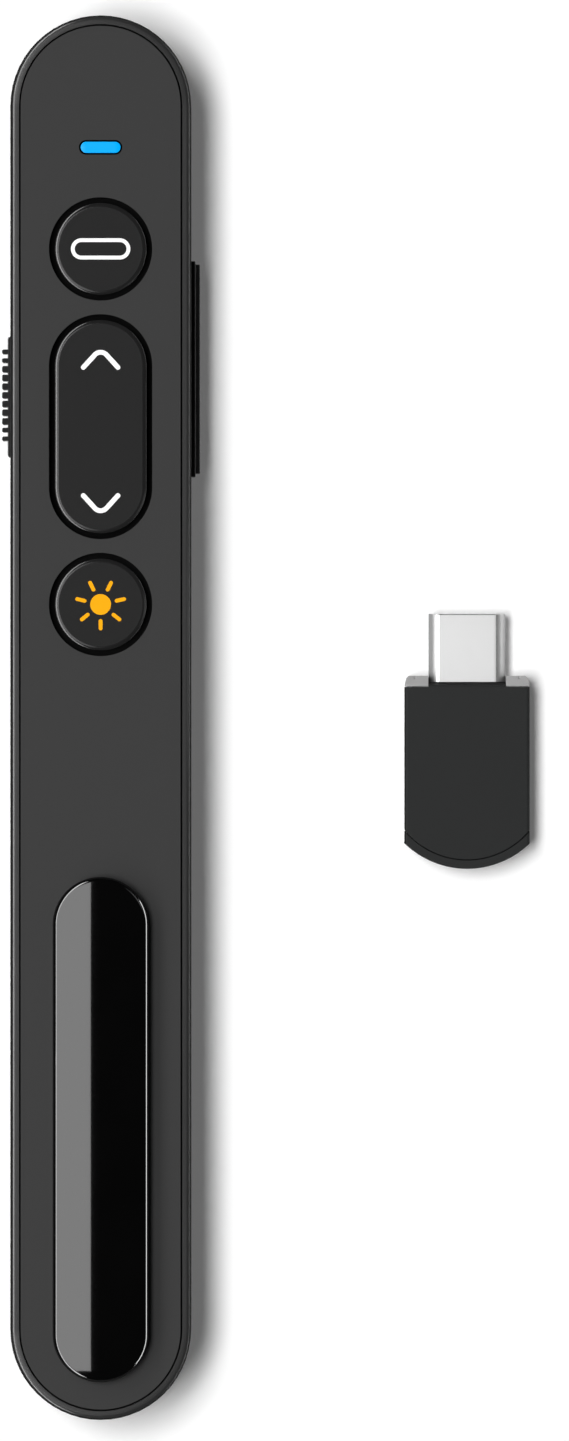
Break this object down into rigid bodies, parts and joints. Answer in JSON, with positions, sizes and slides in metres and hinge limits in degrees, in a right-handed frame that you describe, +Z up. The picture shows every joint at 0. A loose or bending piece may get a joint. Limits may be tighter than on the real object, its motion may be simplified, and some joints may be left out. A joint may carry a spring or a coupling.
{
  "type": "wireless presentation clicker",
  "caption": "Slim round-ended presentation remote with page, link and laser keys, side power slider and volume bar, pocket clip, battery door and separate USB-C receiver.",
  "frame": {"origin": "centre of the flat back face, half way along the clicker", "axes": "+Z up out of the face that carries the keys, +Y along the clicker towards the laser end, +X to the right"},
  "size_m": [0.0565, 0.15, 0.0177],
  "materials": {
    "shell_plastic": "fine matt texture, dark grey",
    "key_plastic": "smooth satin, near black",
    "knob_plastic": "satin, dark grey",
    "volume_plastic": "satin, near black",
    "clip_gloss": "polished piano black",
    "light_window": "translucent blue, lit",
    "led_body": "pale moulded lamp",
    "spring_steel": "nickel plated",
    "screw_steel": "zinc plated",
    "switch_metal": "tin plated",
    "black_plastic": "plain",
    "board_green": "solder mask over glass fibre board",
    "chip_black": "moulded epoxy",
    "crystal_can": "nickel can",
    "ceramic_white": "fired ceramic",
    "part_brown": "small board parts",
    "brass": "turned brass",
    "clear_lens": "clear",
    "window_red": "dark red tint",
    "cell_wrap": "plain printed wrap",
    "wire_red": "PVC insulation",
    "wire_black": "PVC insulation",
    "receiver_plastic": "fine matt texture, dark grey",
    "collar_grey": "satin light grey",
    "plug_steel": "nickel plated, polished",
    "contact_gold": "gold plated"
  },
  "bodies": {
    "housing": {"rear_shell": "shell_plastic", "face_plate": "shell_plastic", "housing_screws": "screw_steel", "led_lens": "light_window", "status_led": "led_body", "link_dome": "spring_steel", "page_domes": "spring_steel", "laser_dome": "spring_steel", "power_switch": "switch_metal", "volume_switches": "switch_metal", "main_board": "board_green", "rf_chip": "chip_black", "crystal": "crystal_can", "antenna": "ceramic_white", "board_parts": "part_brown", "laser_barrel": "brass", "laser_lens": "clear_lens", "laser_diode": "crystal_can", "laser_window": "window_red", "battery_cell": "cell_wrap", "battery_spring": "spring_steel", "spring_plate": "spring_steel", "positive_contact": "spring_steel", "red_lead": "wire_red", "black_lead": "wire_black"},
    "link_button": {"link_key": "key_plastic"},
    "page_rocker": {"page_key": "key_plastic"},
    "laser_button": {"laser_key": "key_plastic"},
    "power_slider": {"power_knob": "knob_plastic", "switch_lever": "black_plastic"},
    "volume_rocker": {"volume_key": "volume_plastic"},
    "clip": {"pocket_clip": "clip_gloss"},
    "door": {"battery_door": "shell_plastic"},
    "receiver": {"receiver_shell": "receiver_plastic", "receiver_end_cap": "receiver_plastic", "receiver_collar": "collar_grey", "plug_shell": "plug_steel", "plug_insert": "black_plastic", "plug_contacts": "contact_gold", "receiver_board": "board_green", "receiver_chip": "chip_black"}
  },
  "joints": [
    {"name": "link_press", "type": "slide", "parent": "housing", "child": "link_button", "axis": [0, 0, -1], "range_m": [0, 0.00035], "stiffness_N_per_m": 1500, "deforming": ["link_dome"]},
    {"name": "page_rock", "type": "hinge", "parent": "housing", "child": "page_rocker", "pos_m": [0, 0.03107, 0.00945], "axis": [1, 0, 0], "range_deg": [-1.5, 1.5], "stiffness_Nm_per_rad": 0.2, "deforming": ["page_domes"]},
    {"name": "laser_press", "type": "slide", "parent": "housing", "child": "laser_button", "axis": [0, 0, -1], "range_m": [0, 0.00035], "stiffness_N_per_m": 1500, "deforming": ["laser_dome"]},
    {"name": "power_slide", "type": "slide", "parent": "housing", "child": "power_slider", "axis": [0, 1, 0], "range_m": [-0.002, 0]},
    {"name": "volume_rock", "type": "hinge", "parent": "housing", "child": "volume_rocker", "pos_m": [0.00799, 0.0373, 0.0067], "axis": [0, 0, 1], "range_deg": [-1.4, 1.4], "stiffness_Nm_per_rad": 0.3},
    {"name": "clip_flex", "type": "hinge", "parent": "housing", "child": "clip", "pos_m": [0, -0.0709, 0.0145], "axis": [1, 0, 0], "range_deg": [0, 4], "stiffness_Nm_per_rad": 6},
    {"name": "battery_door_slide", "type": "slide", "parent": "housing", "child": "door", "axis": [0, -1, 0], "range_m": [0, 0.09]},
    {"name": "receiver_lift", "type": "slide", "parent": "housing", "child": "receiver", "axis": [0, 0, 1], "range_m": [0, 0.03]}
  ]
}
